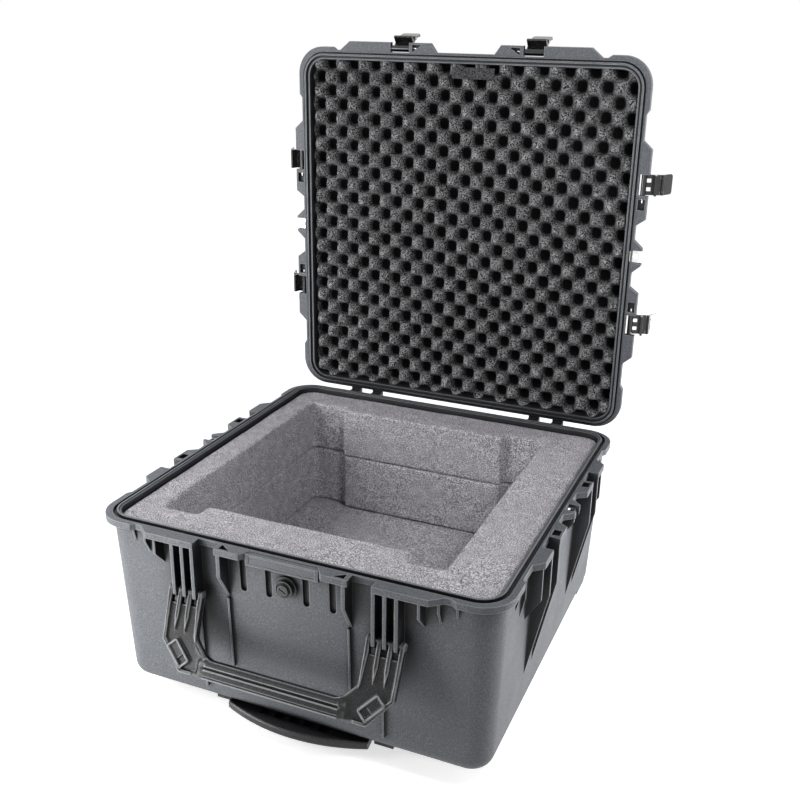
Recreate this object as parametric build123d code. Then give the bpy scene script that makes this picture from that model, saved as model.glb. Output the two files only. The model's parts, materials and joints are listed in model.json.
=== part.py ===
"""Large wheeled protector case: drafted plastic base and hinged lid with six lever latches,
a fold-down front handle, a pull-out trolley, corner wheels and fitted foam.

Units are millimetres.  Z is up, X runs to the right, and Y runs to the back.
Everything is laid out about the middle of the rim, whose parting plane is z = 0, with the lid
closed and each latch shut.  placed_case() then puts it on the ground, and the lid, handle and
latches are turned to the pose in which the open case stands."""
from build123d import *
import os
from math import cos, radians, sin

# ---- the rim: every outline is an offset from the inner lip line -------------------------------
lip_half_x = 310.0            # inner lip line, half across
lip_half_y = 314.0            # inner lip line, half front to back
lip_corner = 36.0
wall_offset = 5.0             # outer face of the wall, outside the lip line
cavity_offset = -6.0          # inner face of the wall
flange_offset = 11.0          # edge of the flange between the lugs, at the front and the sides
bumper_offset = 16.0          # edge of the flange round the corners
bumper_start_front = 250.0    # where the flange begins to widen towards a corner
bumper_start_side = 238.0
bumper_slope = 9.0            # and how far along it takes to do so
rear_flange_offset = 10.0     # edge of the flange at the hinges
lug_offset = 26.5             # outer face of the lugs
flange_thickness = 10.0
lip_height = 1.5              # the inner lip stands above the parting plane
lip_width = 2.5
groove_width = 6.0
groove_depth = 4.5
parting_gap = 0.3             # between the closed lid and the base

seal_groove_out = 0.8         # the lid's groove for its seal, and the tongue outside it
seal_groove_in = -3.0
seal_groove_roof = 6.0
tongue_out = 4.2
tongue_drop = 3.0
relief_out = 7.0
relief_roof = 4.3
padlock_root = 5.0            # the padlock plates are set this deep into the rim
padlock_rise = 3.5
padlock_thickness = 3.0
padlock_hole_radius = 5.0
padlock_hole_offset = 15.5
padlock_reach = 22.0          # outer edge of a plate
padlock_corner = 6.0

# ---- base and lid bodies ------------------------------------------------------------------------
base_depth = 290.0            # parting plane to the outer floor
base_draft_run = 12.0         # how far the wall leans in over the base depth
floor_thickness = 8.0
bottom_edge_radius = 22.0
cavity_edge_radius = 14.0
lid_depth = 78.0
lid_draft_run = 9.0
lid_roof = 8.0
lid_edge_radius = 20.0
lid_cavity_offset = -5.5      # inner face of the lid's wall
ground_clearance = 32.0

# ---- lugs round the rim, measured along a side from its middle -----------------------------------
small_lug_start = 53.0
small_lug_face = 65.0
latch_gap_start = 105.0
latch_gap_end = 141.0
big_lug_face_end_front = 222.0
big_lug_end_front = 242.0
big_lug_face_end_side = 182.0
big_lug_end_side = 197.0
latch_notch_offset = 9.5      # the flange is cut back to here behind each latch
ear_root = 30.0               # padlock ears
ear_tip = 11.0
lug_pocket = (81.0, 99.0)      # blind pockets in the lugs, from and to along the side
lug_pocket_inner = 11.0
lug_pocket_outer = 23.0
lug_pocket_depth = 7.0
padlock_side_gap = 2.0        # between a padlock plate and the ear beside it
ear_corner = 4.0              # the ears' faces start this far beyond their tips

# ---- ribs ----------------------------------------------------------------------------------------
rib_thickness = 6.0
rib_root = -4.0               # short ribs start this far inside the lip line, within the wall
thin_rib = 4.0
side_rib_knee = 74.0
side_rib_end = 217.0
front_rib_knee = 46.0
front_rib_end = 90.0
line_rib_width = 3.5
line_rib_height = 5.0
line_rib_inner_end = 212.0
line_rib_outer_end = 264.0
ear_rib_end = 52.0
# short ribs from the last lug to the corner: place, end of the upright part, end on the wall
side_short_ribs = ((181.0, 62.0, 98.0), (214.0, 44.0, 75.0), (240.0, 26.0, 50.0))
front_short_ribs = ((209.0, 34.0, 58.0), (233.0, 24.0, 46.0), (257.0, 14.0, 34.0))
rear_rib_end = 110.0
wall_slots = (30.0, 72.0)     # slots sunk in the front wall beside the valve
wall_slot_size = (54.0, 10.0)
wall_slot_drop = 47.0
wall_slot_depth = 6.0
roof_rails = ((228.0, 250.0), (150.0, 165.0))   # half length and place of the lid's rails
roof_rail_width = 16.0
roof_rail_height = 2.0

# ---- front handle --------------------------------------------------------------------------------
handle_pivot_offset = 17.0
handle_pivot_drop = 88.0
handle_rest_angle = 22.0
finger_pitch = 17.0
finger_first = 135.0          # middle of the innermost finger
finger_count = 4
handle_fin_thickness = 5.5
finger_gap = 2.4              # between a finger and the fin beside it
handle_thickness = 12.0
handle_barrel_radius = 6.5
handle_pin_radius = 3.0
handle_length = 118.0         # pivot to the outer edge of the grip
handle_grip_depth = 28.0
handle_grip_thickness = 19.0
grip_groove = (10.0, 2.0, 1.6)         # from the grip's outer edge, width and depth
handle_slot_length = 20.0     # pivot to the web between the fingers
handle_relief = 4.0           # the web lies this far behind the fingers' faces
handle_rail = 5.0             # width of the rail left along each edge of the web
handle_taper = (36.0, 60.0)   # the middle fingers run to a point between these
fin_bottom_drop = 14.0        # the fins reach this far below the pivot
fin_foot = 10.0               # and their feet this much further down the wall
handle_inner_radius = 26.0
handle_corner_round = 22.0
handle_bend = (3.0, 76.0)     # bend in an arm's outer edge: inwards, and below the pivot
handle_foot = 38.0            # outer edge to the foot of the bend
grip_end = 12.0               # the grip ends this far inside the innermost finger
grip_round = 8.0              # along its upper edges
grip_low_round = 3.0
boss_place = (156.0, 91.0)    # the corner bosses: middle, size, turn and rim
boss_size = (40.0, 21.0)
boss_turn = 47.0
boss_rim = 3.5
boss_corner = 4.0
boss_front = 2.0              # the bosses stand this far in front of the fingers
boss_depth = 5.0
boss_pad_height = 2.5

# ---- lid hinges ----------------------------------------------------------------------------------
hinge_offset = 21.25          # hinge axis outside the rear lip line
hinge_drop = 12.5             # hinge axis below the parting plane
hinge_start = 128.0
hinge_end = 246.0
knuckle_radius = 7.5
hinge_pin_radius = 3.0
knuckle_gap = 0.5
lid_knuckle_width = 20.0

# ---- latches -------------------------------------------------------------------------------------
latch_pin_offset = 17.0
latch_pin_height = 6.5
latch_pin_radius = 2.0
latch_side_gap = 0.75
pin_seat = 12.0               # a latch pin reaches this far into the lug on each side
latch_barrel_radius = 4.5
arm_face_offset = 6.0         # outer face of the arm, outside its pin
arm_thickness = 3.5
hook_thickness = 4.0
hook_reach = 10.0             # the hook points in past the pin by this much
lever_pivot_drop = 32.0       # lever pin below the arm's pin
lever_pin_radius = 1.6
lever_root = 4.5              # the blade starts this far beyond its pin
lever_length = 24.0           # pin to the free edge
lever_corner = 5.0
shoulder_gap = 0.5            # between the arm's shoulders and the lever's ears
arm_window = 6.6
lever_ear = 6.0
lever_knuckle_radius = 3.4
lever_pin_inset = 1.75        # lever pin inside the arm's outer face
lever_thickness = 3.0
front_arm_open = 141.0
side_arm_open = 110.0
front_lever_open = 25.0
side_lever_open = 40.0

# ---- fits ----------------------------------------------------------------------------------------
pin_clearance = 0.05          # radial, in every bore that a pin runs in
seat_gap = 0.3                # between pieces that lie beside each other

# ---- foam ----------------------------------------------------------------------------------------
foam_top_drop = 7.0
foam_pocket_depth = 208.0
foam_upper_ring = 96.0
pocket_left_inset = 55.0       # the pocket's edges, inside the lip line
pocket_right_inset = 99.0
pocket_front_inset = 68.0
pocket_back_inset = 64.0
tongue_depth = 30.0
tongue_front = (-194.0, 150.0)
tongue_back = (-184.0, 139.0)
lid_foam_start = 0.8
lid_pad_size = (80.0, 15.0, 2.5)
lid_pad_middle = 17.0
lid_pad_inset = 11.5          # the pad lies this far inside the edge of the lid's foam

# ---- name plate and pressure valve -------------------------------------------------------------
plate_frame = (116.0, 19.0)
plate_frame_offset = 19.0     # face of the frame
plate_recess = (104.0, 12.0)
plate_recess_depth = 2.0
plate_thickness = 1.5
valve_radius = 13.5
valve_drop = 48.0
valve_stem_radius = 7.0
valve_front_offset = 17.0
valve_knob_height = 3.0
valve_boss_offset = 8.0       # face of the low boss under the valve
valve_boss_radius = 17.5
valve_washer = 1.5
valve_nut_radius = 11.0

# ---- wheels --------------------------------------------------------------------------------------
wheel_radius = 37.5
wheel_width = 30.0
wheel_inset = 26.0            # outer face of the outer wheel, inside the lip line
wheel_gap = 6.0
wheel_back_inset = 46.0       # axle, in front of the rear lip line
hub_radius = 24.0
axle_radius = 5.0
well_clearance = 5.0
well_wall = 4.0

# ---- trolley -------------------------------------------------------------------------------------
tube_x = 78.0
tube_width = 24.0
tube_height = 10.0
tube_wall = 1.5
channel_wall = 2.5
channel_inset = 99.0          # rear end of the channels, in front of the rear lip line
bracket_back_inset = 89.0     # the rest are measured back from the front lip line
bracket_front_inset = 31.0
bracket_half = 152.0
bracket_bay_depth = 36.0
rear_bracket_length = 18.0
grip_half = 119.0
grip_end_inset = 12.0
grip_front_reach = 13.0      # but the grip's bow stands in front of it
grip_thickness = 14.0
grip_pocket_count = 5
grip_pocket = (21.0, 14.0, 9.0)
grip_pocket_pitch = 25.0
finger_hole = (180.0, 24.0)
finger_hole_inset = 52.0
trigger_size = (80.0, 6.0, 9.0)
trigger_travel = 4.0
slide_gap = 0.3

# ---- feet ----------------------------------------------------------------------------------------
foot_side_inset = 82.0
foot_front_inset = 142.0
foot_size = 48.0
foot_base = 40.0

# ---- values that follow --------------------------------------------------------------------------
rim_height = base_depth + ground_clearance
lid_start = parting_gap       # underside of the closed lid's flange
hinge_y = lip_half_y + hinge_offset
handle_y = -(lip_half_y + handle_pivot_offset)
latch_middle = (latch_gap_start + latch_gap_end) / 2
latch_width = latch_gap_end - latch_gap_start - 2 * latch_side_gap
hook_drop = latch_pin_height + flange_thickness + parting_gap
tube_z = -(base_depth + channel_wall + slide_gap + tube_height / 2)
wheel_z = wheel_radius - rim_height
front_reach = (
    -handle_y
    + handle_length * sin(radians(handle_rest_angle))
    + handle_grip_thickness / 2 * cos(radians(handle_rest_angle))
)
rear_reach = hinge_y + hinge_drop + lid_depth
case_shift_y = (front_reach - rear_reach) / 2
across = lip_half_x           # bores and cuts right through run this far each way
wheel_outer_x = lip_half_x - wheel_inset
wheel_y = lip_half_y - wheel_back_inset
channel_rear = lip_half_y - channel_inset
bracket_back = bracket_back_inset - lip_half_y
bracket_front = bracket_front_inset - lip_half_y
grip_end_front = grip_end_inset - lip_half_y
grip_front = -lip_half_y - grip_front_reach
finger_hole_back = finger_hole_inset - lip_half_y
foot_x = lip_half_x - foot_side_inset
foot_y = foot_front_inset - lip_half_y
pocket_left = pocket_left_inset - lip_half_x
pocket_right = lip_half_x - pocket_right_inset
pocket_front = pocket_front_inset - lip_half_y
pocket_back = lip_half_y - pocket_back_inset

SIDE_TURN = {"front": 0.0, "right": 90.0, "back": 180.0, "left": -90.0}
PARTS = {}


# ---- small helpers -------------------------------------------------------------------------------
def block(x0, x1, y0, y1, z0, z1):
    """A box given by its lowest and highest corners."""
    return Pos((x0 + x1) / 2, (y0 + y1) / 2, (z0 + z1) / 2) * Box(x1 - x0, y1 - y0, z1 - z0)


def rod(start, end, y, z, radius):
    """A cylinder along X."""
    return Pos((start + end) / 2, y, z) * Rot(0, 90, 0) * Cylinder(radius, end - start)


def outline(offset, corner=None, run=0.0):
    """A rounded rectangle at an offset from the lip line; run pulls it in by that much."""
    radius = lip_corner + offset if corner is None else corner
    half_x = lip_half_x + offset - run
    half_y = lip_half_y + offset - run
    return RectangleRounded(2 * half_x, 2 * half_y, max(radius - run / 2, 6.0))


def drafted(offset, z_start, z_end, run_start, run_end):
    """A body between two outlines, whose wall leans in from run_start to run_end."""
    sections = [
        Pos(0, 0, z_start) * outline(offset, run=run_start),
        Pos(0, 0, z_end) * outline(offset, run=run_end),
    ]
    return loft(sections)


def ring(outer, inner, z0, z1):
    """A ring between two offsets of the lip line."""
    band = outline(outer) - outline(inner)
    return extrude(Pos(0, 0, z0) * band, z1 - z0)


def on_side(side, shape):
    """Carry a shape drawn at the front rim (x along, -y outward from the lip line) to a side."""
    half = lip_half_y if side in ("front", "back") else lip_half_x
    return Rot(0, 0, SIDE_TURN[side]) * Pos(0, -half, 0) * shape


def both_ways(shape):
    """A shape and its mirror image across x = 0."""
    return [shape, mirror(shape, Plane.YZ)]


def rib(along, thickness, profile):
    """An upright rib: profile points are (outward from the lip line, z)."""
    points = [(-out, z) for out, z in profile]
    face = Plane.YZ.offset(along - thickness / 2) * Polygon(*points, align=None)
    return extrude(face, thickness)


def base_wall(z):
    """Outward place of the base's outer face at a height below the rim."""
    return wall_offset + base_draft_run * z / base_depth


def turn_about_x(shape, y, z, angle):
    """Turn a shape about an axis along X through (y, z)."""
    return Pos(0, y, z) * Rot(angle, 0, 0) * Pos(0, -y, -z) * shape


def placed_case(shape):
    """From the rim's frame to the frame of the standing case."""
    return Pos(0, case_shift_y, rim_height) * shape


def open_lid(shape):
    """Turn a piece of the closed lid back on the hinge until it stands upright."""
    return turn_about_x(shape, hinge_y, -hinge_drop, -90)


def keep(name, shape):
    """Write one piece of the base into the list of parts."""
    shape = placed_case(shape)
    shape.label = name
    PARTS[name] = shape


# ---- the rim plate that the base and the lid share -----------------------------------------------
def big_lug_ends(side):
    """Where the big lug's face ends, and where the lug meets the flange, along a side."""
    if side == "front":
        return big_lug_face_end_front, big_lug_end_front
    return big_lug_face_end_side, big_lug_end_side


def lug_faces(side):
    """Outlines of one half of a side's lugs, drawn at the front rim, with y outward negative."""
    face_end, lug_end = big_lug_ends(side)
    root = 0.0
    small = [
        (small_lug_start, root),
        (small_lug_start, flange_offset - 1),
        (small_lug_face, lug_offset),
        (latch_gap_start, lug_offset),
        (latch_gap_start, root),
    ]
    big = [
        (latch_gap_end, root),
        (latch_gap_end, lug_offset),
        (face_end, lug_offset),
        (lug_end, flange_offset - 1),
        (lug_end, root),
    ]
    return [Polygon(*[(a, -o) for a, o in lug], align=None) for lug in (small, big)]


def rim_plate():
    """Outline of the flange with its corner bumpers, lugs, latch notches and padlock ears."""
    half_x = lip_half_x + bumper_offset
    front = lip_half_y + bumper_offset
    rear = lip_half_y + rear_flange_offset
    plate = Pos(0, (rear - front) / 2) * RectangleRounded(
        2 * half_x, front + rear, lip_corner + bumper_offset - 3
    )
    beyond = bumper_offset + 1
    for side in ("front", "right", "left"):
        start = bumper_start_front if side == "front" else bumper_start_side
        full = start + bumper_slope
        cut = [(-full, beyond), (-start, flange_offset), (start, flange_offset), (full, beyond)]
        plate -= on_side(side, Polygon(*[(a, -o) for a, o in cut], align=None))
        for lug in lug_faces(side):
            for half in both_ways(lug):
                plate += on_side(side, half)
    for side in ("right", "left"):
        ear = [
            (-ear_root, 0),
            (-ear_root, flange_offset - 1),
            (-ear_tip - ear_corner, lug_offset),
            (ear_tip + ear_corner, lug_offset),
            (ear_root, flange_offset - 1),
            (ear_root, 0),
        ]
        plate += on_side(side, Polygon(*[(a, -o) for a, o in ear], align=None))
        notch = Pos(0, -(latch_notch_offset + 20)) * Rectangle(2 * ear_tip, 40)
        plate -= on_side(side, notch)
    for side in ("front", "right", "left"):
        notch = Pos(latch_middle, -(latch_notch_offset + 20)) * Rectangle(
            latch_gap_end - latch_gap_start, 40
        )
        for half in both_ways(notch):
            plate -= on_side(side, half)
    return plate


def lug_pockets(z0, z1):
    """The blind pockets sunk in the small lugs: square at the sides, three-cornered in front."""
    low, high = lug_pocket
    inner, outer = lug_pocket_inner, lug_pocket_outer
    pockets = []
    for side in ("front", "right", "left"):
        corners = [(low, -outer), (high, -outer), (high, -inner), (low, -inner)]
        if side == "front":
            corners = corners[:3]
        pocket = extrude(Pos(0, 0, z0) * Polygon(*corners, align=None), z1 - z0)
        pockets += [on_side(side, half) for half in both_ways(pocket)]
    return pockets


RIM_PLATE = rim_plate()


def pin_holes(radius):
    """Bores for the six latch pins through the lugs on both sides of each latch gap."""
    bores = []
    for side in ("front", "right", "left"):
        bore = rod(
            latch_gap_start - pin_seat, latch_gap_end + pin_seat, -latch_pin_offset,
            latch_pin_height, radius,
        )
        bores += [on_side(side, half) for half in both_ways(bore)]
    return bores


# ---- base shell ----------------------------------------------------------------------------------
def rim_edge(side, along):
    """Outward place of the flange's edge beyond a side's big lug."""
    face_end, lug_end = big_lug_ends(side)
    share = min(max((along - face_end) / (lug_end - face_end), 0), 1)
    return lug_offset + share * (flange_offset - lug_offset)


def short_ribs(side, places):
    """Short ribs that stand under a big lug and the flange beyond it."""
    ribs = []
    for place, knee, end in places:
        reach = rim_edge(side, place + thin_rib / 2) - 2
        profile = [
            (rib_root, -2),
            (reach, -2),
            (reach, -knee),
            (base_wall(-end), -end),
            (rib_root, -end),
        ]
        ribs += [on_side(side, r) for r in both_ways(rib(place, thin_rib, profile))]
    return ribs


def side_ribs():
    """Deep ribs that stand under the lugs of the left and right walls."""
    foot = base_wall(-side_rib_end) - 3
    deep = [
        (0, -2),
        (lug_offset - 0.5, -2),
        (lug_offset - 0.5, -side_rib_knee),
        (base_wall(-side_rib_end), -side_rib_end),
        (foot, -side_rib_end),
    ]
    ear = [
        (rib_root, -2),
        (lug_offset - 1, -2),
        (lug_offset - 1, -16),
        (base_wall(-ear_rib_end), -ear_rib_end),
        (rib_root, -ear_rib_end),
    ]
    ribs = []
    for side in ("right", "left"):
        for along in (latch_gap_start - rib_thickness / 2, latch_gap_end + rib_thickness / 2):
            ribs += [on_side(side, r) for r in both_ways(rib(along, rib_thickness, deep))]
        ribs += short_ribs(side, side_short_ribs)
        ribs += [on_side(side, r) for r in both_ways(rib(ear_tip + ear_corner, thin_rib, ear))]
    return ribs


def front_ribs():
    """Gussets under the front lugs, and the low lines that run down the wall below them."""
    gusset = [
        (0, -2),
        (lug_offset - 0.5, -2),
        (lug_offset - 0.5, -front_rib_knee),
        (base_wall(-front_rib_end), -front_rib_end),
        (-4, -front_rib_end),
    ]
    line_inner = [
        (-9, -front_rib_end),
        (base_wall(-front_rib_end) + line_rib_height, -front_rib_end),
        (base_wall(-line_rib_inner_end) + line_rib_height, -line_rib_inner_end),
        (-11, -line_rib_inner_end),
    ]
    line_outer = [
        (-4, -front_rib_end),
        (base_wall(-front_rib_end) + line_rib_height, -front_rib_end),
        (base_wall(-line_rib_outer_end) + line_rib_height, -line_rib_outer_end),
        (-13, -line_rib_outer_end),
    ]
    along = latch_gap_start - rib_thickness
    ribs = both_ways(rib(along, rib_thickness, gusset))
    ribs += both_ways(rib(along - 1.5, line_rib_width, line_inner))
    ribs += both_ways(rib(finger_first + finger_pitch * 0.8, line_rib_width, line_outer))
    return [on_side("front", r) for r in ribs] + short_ribs("front", front_short_ribs)


def handle_fins():
    """The fins that the front handle's fingers turn between."""
    knee = handle_pivot_drop + 5
    low = handle_pivot_drop + fin_bottom_drop
    profile = [
        (0, -2),
        (lug_offset - 0.5, -2),
        (lug_offset - 0.5, -knee),
        (handle_pivot_offset, -low),
        (base_wall(-low - fin_foot), -low - fin_foot),
        (rib_root, -low - fin_foot),
    ]
    fins = []
    for index in range(finger_count - 1):
        along = finger_first + finger_pitch * (index + 0.5)
        fins += both_ways(rib(along, handle_fin_thickness, profile))
    return [on_side("front", f) for f in fins]


def rear_ribs():
    """Upright ribs on the back wall under the hinge plates."""
    profile = [
        (0, -2),
        (hinge_offset - 6, -14),
        (hinge_offset - 6, -40),
        (base_wall(-rear_rib_end), -rear_rib_end),
        (-6, -rear_rib_end),
    ]
    ribs = []
    for along in (hinge_start + 6, (hinge_start + hinge_end) / 2, hinge_end - 6):
        ribs += both_ways(rib(along, rib_thickness, profile))
    return [on_side("back", r) for r in ribs]


def knuckle_spans():
    """Spans along X of the base's three knuckles and the lid's two on one hinge."""
    middle = (hinge_start + hinge_end) / 2
    total = hinge_end - hinge_start
    base_width = (total - 2 * lid_knuckle_width - 4 * knuckle_gap) / 3
    inner = middle - base_width / 2
    outer = middle + base_width / 2
    lid_spans = [
        (inner - knuckle_gap - lid_knuckle_width, inner - knuckle_gap),
        (outer + knuckle_gap, outer + knuckle_gap + lid_knuckle_width),
    ]
    base_spans = [
        (hinge_start, lid_spans[0][0] - knuckle_gap),
        (inner, outer),
        (lid_spans[1][1] + knuckle_gap, hinge_end),
    ]
    return base_spans, lid_spans


def base_knuckles():
    """Hinge knuckles carried under the back flange."""
    solids = []
    for start, end in knuckle_spans()[0]:
        barrel = rod(start, end, hinge_y, -hinge_drop, knuckle_radius)
        web = block(
            start, end, lip_half_y + 2, hinge_y, -hinge_drop - knuckle_radius, -hinge_drop + 4
        )
        solids += both_ways(barrel + web)
    return solids


def wheel_housings(inset):
    """Boxes round each pair of wheels: the hollow at well_wall, and the walls at any less.

    The walls run on into the shell's own wall beside the wheels."""
    inner = wheel_outer_x - 2 * wheel_width - wheel_gap - well_clearance
    top = wheel_z + wheel_radius + well_clearance
    front = wheel_y - wheel_radius - well_clearance
    outer = wheel_outer_x + well_clearance if inset == well_wall else lip_half_x
    housing = block(
        inner - well_wall + inset,
        outer,
        front - well_wall + inset,
        lip_half_y + base_wall(-base_depth) - 6 if inset == 0 else lip_half_y + 60,
        -base_depth + 4 if inset == 0 else -rim_height,
        top + well_wall - inset,
    )
    return both_ways(housing)


def wall_recesses():
    """Slots sunk in the front wall beside the valve."""
    recesses = []
    floor = lip_half_y + base_wall(-wall_slot_drop) - wall_slot_depth
    for place in wall_slots:
        slot = SlotOverall(*wall_slot_size, rotation=90)
        slot = Plane.XZ.offset(floor) * Pos(place, -wall_slot_drop) * slot
        recesses += both_ways(extrude(slot, 20))
    return recesses


def name_plate_frame():
    """The raised block under the front rim that holds the blank name plate."""
    width, height = plate_frame
    frame = block(-width / 2, width / 2, -plate_frame_offset, 0, -height, -1)
    recess = block(
        -plate_recess[0] / 2,
        plate_recess[0] / 2,
        -plate_frame_offset - 1,
        -plate_frame_offset + plate_recess_depth,
        -height / 2 - plate_recess[1] / 2,
        -height / 2 + plate_recess[1] / 2,
    )
    return on_side("front", frame), on_side("front", recess)


def base_shell():
    """The moulded lower half, with everything that is one piece with it."""
    body = drafted(wall_offset, 0, -base_depth, 0, base_draft_run)
    low_edges = body.edges().group_by(Axis.Z)[0]
    body = fillet(low_edges, bottom_edge_radius)
    cavity = drafted(
        cavity_offset, 5, -(base_depth - floor_thickness),
        -base_draft_run * 5 / base_depth,
        base_draft_run * (base_depth - floor_thickness) / base_depth,
    )
    cavity = fillet(cavity.edges().group_by(Axis.Z)[0], cavity_edge_radius)
    body -= wall_recesses()
    flange = extrude(Pos(0, 0, -flange_thickness) * RIM_PLATE, flange_thickness)
    frame, recess = name_plate_frame()
    solids = [flange, ring(0, -lip_width, -flange_thickness, lip_height), frame]
    solids += side_ribs() + front_ribs() + handle_fins() + rear_ribs() + base_knuckles()
    boss_length = valve_boss_offset + valve_washer
    boss = Pos(0, -lip_half_y - valve_boss_offset + boss_length / 2, -valve_drop) * Rot(
        90, 0, 0
    ) * Cylinder(valve_boss_radius, boss_length)
    body = body + solids + [boss]
    body -= cavity
    body += [h & drafted(wall_offset - 2, 0, -base_depth + 2, 0, base_draft_run)
             for h in wheel_housings(0)]
    tools = [ring(groove_width, 0, -groove_depth, 3), recess]
    tools += lug_pockets(-lug_pocket_depth, 1)
    tools += wheel_housings(well_wall)
    plate_low = -padlock_rise - padlock_thickness
    tools += padlock_pair(padlock_slot(plate_low, plate_low + padlock_thickness))
    hinge_bore = rod(-across, across, hinge_y, -hinge_drop, hinge_pin_radius + pin_clearance)
    pivot_bore = rod(
        -across, across, handle_y, -handle_pivot_drop, handle_pin_radius + pin_clearance
    )
    tools += [hinge_bore, pivot_bore]
    stem = Pos(0, -lip_half_y, -valve_drop) * Rot(90, 0, 0) * Cylinder(
        valve_stem_radius + pin_clearance, 60
    )
    tools += [stem]
    axle = rod(
        wheel_outer_x - 2 * wheel_width - wheel_gap - well_clearance - well_wall,
        wheel_outer_x + well_clearance + well_wall,
        wheel_y, wheel_z, axle_radius + pin_clearance,
    )
    tools += both_ways(axle)
    return body - tools


# ---- pieces carried by the base ------------------------------------------------------------------
def run_at(z):
    """How far the base's wall has leaned in at height z below the rim."""
    return -base_draft_run * z / base_depth


def foam_layer(z_top, z_low, pocket):
    """A layer of the base's foam, a seat gap inside the cavity, with or without the pocket."""
    layer = drafted(cavity_offset - seat_gap, z_top, z_low, run_at(z_top), run_at(z_low))
    if pocket:
        layer -= foam_pocket(z_top, z_low)
    return layer


def foam_pocket(z_top, z_low):
    """The pocket cut through the foam, with a tongue at the front and one at the back."""
    well = block(pocket_left, pocket_right, pocket_front, pocket_back, z_low - 1, z_top + 1)
    front = block(*tongue_front, pocket_front - 1, pocket_front + tongue_depth, z_low, z_top)
    back = block(*tongue_back, pocket_back - tongue_depth / 2, pocket_back + 1, z_low, z_top)
    return well - front - back


def foam_pieces():
    """Two pocketed layers over a plain pad."""
    top = -foam_top_drop
    middle = top - foam_upper_ring
    floor = top - foam_pocket_depth
    bottom = -(base_depth - floor_thickness) + seat_gap
    relief = Pos(0, -lip_half_y, -valve_drop) * Rot(90, 0, 0) * Cylinder(valve_radius, 60)
    pad = foam_layer(floor, bottom, False)
    pad = fillet(pad.edges().group_by(Axis.Z)[0], cavity_edge_radius)
    pad -= wheel_housings(-seat_gap)
    keep("foam_ring_upper", foam_layer(top, middle, True) - relief)
    keep("foam_ring_lower", foam_layer(middle, floor, True))
    keep("foam_base_pad", pad)


def name_plate():
    """The blank plate that lies in the recess under the front rim."""
    width = plate_recess[0] - 2 * seat_gap
    height = plate_recess[1] - 2 * seat_gap
    back = -plate_frame_offset + plate_recess_depth
    low = -plate_frame[1] / 2 - height / 2
    plate = block(-width / 2, width / 2, back - plate_thickness, back, low, low + height)
    return on_side("front", plate)


def pressure_valve():
    """Valve body with its flange, the sealing washer under it and the nut inside the wall."""
    def disc(radius, y0, y1):
        length = y1 - y0
        return Pos(0, (y0 + y1) / 2, -valve_drop) * Rot(90, 0, 0) * Cylinder(radius, length)

    seat = -(lip_half_y + valve_boss_offset)
    face = -(lip_half_y + valve_front_offset)
    inside = -(lip_half_y + cavity_offset) + run_at(-valve_drop) + 1.1
    rim = face + valve_knob_height
    body = disc(valve_radius, rim, seat - valve_washer) + disc(valve_radius - 5, face, rim)
    body += disc(valve_stem_radius, seat - valve_washer, inside + 8)
    body -= disc(valve_radius - 2, rim - 1, rim + 1.5) - disc(valve_radius - 4, face, seat)
    body -= Pos(0, face, -valve_drop) * Rot(0, 30, 0) * Box(13, 3, 2.4)
    keep("valve_body", body)
    seal = disc(valve_radius - 3, seat - valve_washer, seat) - disc(
        valve_stem_radius + pin_clearance, seat - 4, seat + 4
    )
    keep("valve_seal", seal)
    hexagon = Plane.XZ.offset(-inside) * Pos(0, -valve_drop) * RegularPolygon(valve_nut_radius, 6)
    nut = extrude(hexagon, -6) - disc(valve_stem_radius + pin_clearance, inside - 9, inside + 9)
    keep("valve_nut", nut)


def padlock_plate(z_low, z_high):
    """A steel plate with the padlock's hole, set into the rim between two ears."""
    width = 2 * (ear_tip - padlock_side_gap)
    tab = block(-width / 2, width / 2, -padlock_reach, -padlock_root, z_low, z_high)
    hole = Pos(0, -padlock_hole_offset, (z_low + z_high) / 2) * Cylinder(padlock_hole_radius, 20)
    corners = (tab.edges() | Axis.Z).group_by(Axis.Y)[0]
    return fillet(corners, padlock_corner) - hole


def padlock_slot(z_low, z_high):
    """The slot in the rim that takes the root of a padlock plate."""
    width = 2 * (ear_tip - padlock_side_gap)
    return block(-width / 2, width / 2, -lug_offset - 1, -padlock_root, z_low, z_high)


def padlock_pair(shape):
    """A padlock piece on the left and on the right side."""
    return [on_side("right", shape), on_side("left", shape)]


def pins():
    """Pins of the hinges and of the front handle."""
    hinge = rod(hinge_start, hinge_end, hinge_y, -hinge_drop, hinge_pin_radius)
    keep("hinge_pins", Compound(both_ways(hinge)))
    pivot = rod(*finger_span(), handle_y, -handle_pivot_drop, handle_pin_radius)
    keep("handle_pins", Compound(both_ways(pivot)))


# ---- front handle --------------------------------------------------------------------------------
def handle_finger_width():
    """Width of a finger, between the two fins beside it."""
    return finger_pitch - handle_fin_thickness - 2 * finger_gap


def finger_span():
    """From the innermost finger's inner face to the outermost finger's outer face."""
    half = handle_finger_width() / 2
    return finger_first - half, finger_first + finger_pitch * (finger_count - 1) + half


def handle_outline():
    """Half of the handle's face, drawn with x across and y up from the pivot."""
    inner, outer = finger_span()
    grip_top = handle_length - handle_grip_depth
    face = Polygon(
        (0, -grip_top),
        (inner - handle_inner_radius, -grip_top),
        (inner - 2, -grip_top + handle_inner_radius),
        (inner, -handle_slot_length),
        (inner, 0),
        (outer, 0),
        (outer - handle_bend[0], -handle_bend[1]),
        (outer - handle_foot, -handle_length),
        (0, -handle_length),
        align=None,
    )
    corner = face.vertices().sort_by_distance((inner - handle_inner_radius, -grip_top, 0))[0]
    knee = face.vertices().sort_by_distance(
        (inner - 2, -grip_top + handle_inner_radius, 0)
    )[0]
    return fillet([corner, knee], handle_corner_round)


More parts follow.
